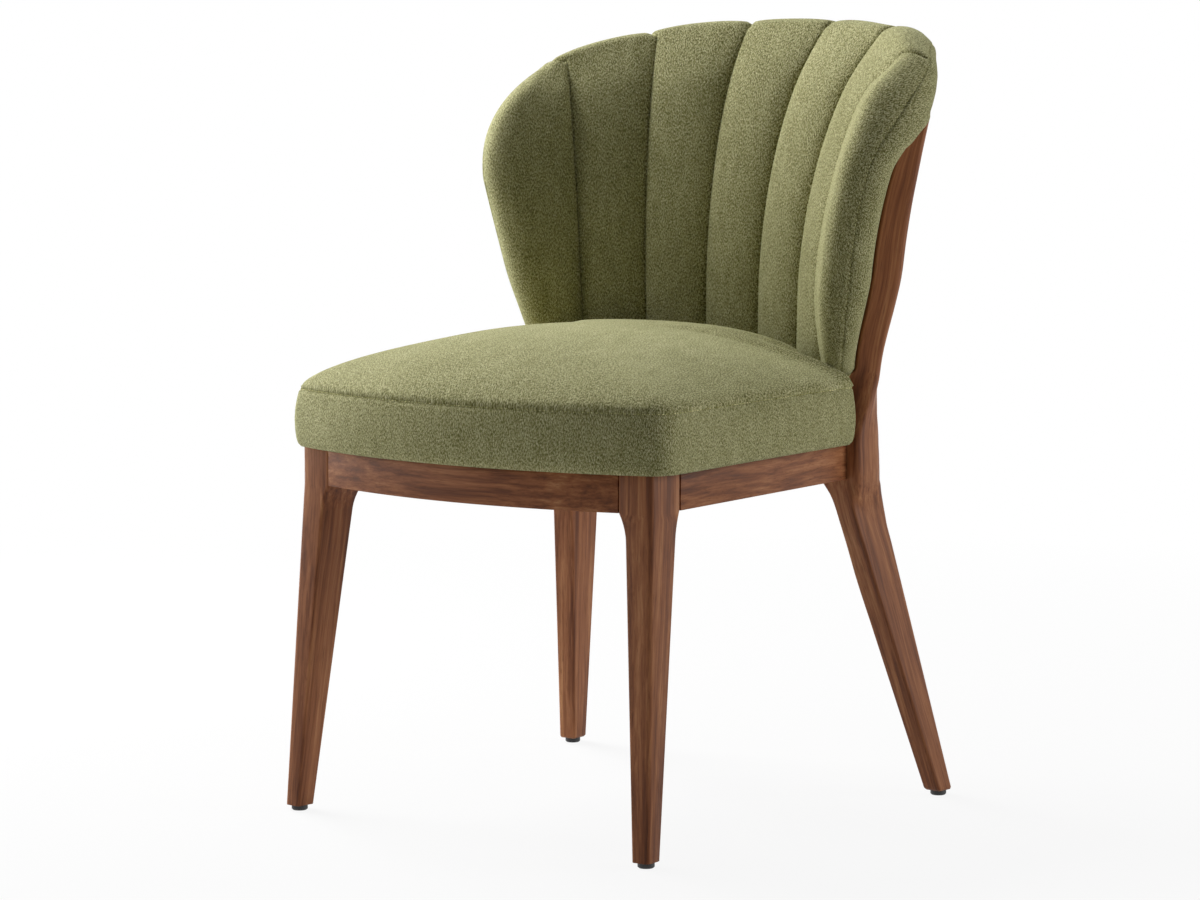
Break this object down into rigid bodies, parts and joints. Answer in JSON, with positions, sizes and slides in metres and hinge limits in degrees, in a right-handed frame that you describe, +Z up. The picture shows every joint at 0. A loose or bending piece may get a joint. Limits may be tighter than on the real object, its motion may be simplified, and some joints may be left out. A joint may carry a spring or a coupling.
{
  "type": "upholstered dining chair",
  "caption": "Armless dining chair with a curved, vertically channelled barrel back, a boxed and crowned seat cushion and tapered, splayed wooden legs.",
  "frame": {"origin": "on the floor under the middle of the chair's overall width and depth", "axes": "+Z up, the chair faces -Y, +X is the side at the right hand of a person who stands in front and looks at it; left and right in node names are seen the same way"},
  "size_m": [0.5344, 0.612, 0.8002],
  "materials": {
    "walnut": "satin lacquer over mid-brown walnut with long grain",
    "beech": "bare planed hardwood",
    "plywood": "bare plywood",
    "foam": "cut upholstery foam",
    "upholstery": "matt woven olive green upholstery cloth with a soft sheen",
    "dust_cloth": "thin black non-woven cloth",
    "nylon": "moulded black nylon",
    "steel": "zinc-plated screws, bolts and nails"
  },
  "bodies": {
    "root": {"front_leg_left": "walnut", "front_leg_right": "walnut", "rear_leg_left": "walnut", "rear_leg_right": "walnut", "front_rail": "walnut", "side_rail_left": "walnut", "side_rail_right": "walnut", "rear_rail": "walnut", "corner_block_front_left": "beech", "corner_block_front_right": "beech", "corner_block_rear_left": "beech", "corner_block_rear_right": "beech", "rail_dowels": "beech", "corner_block_screws": "steel", "seat_screws": "steel", "seat_panel": "plywood", "seat_foam": "foam", "seat_cover": "upholstery", "dust_cloth": "dust_cloth", "back_shell": "plywood", "back_pad": "upholstery", "outside_back": "upholstery", "back_bolts": "steel", "glide_front_left": "nylon", "glide_front_right": "nylon", "glide_rear_left": "nylon", "glide_rear_right": "nylon", "glide_nails": "steel"}
  },
  "joints": []
}
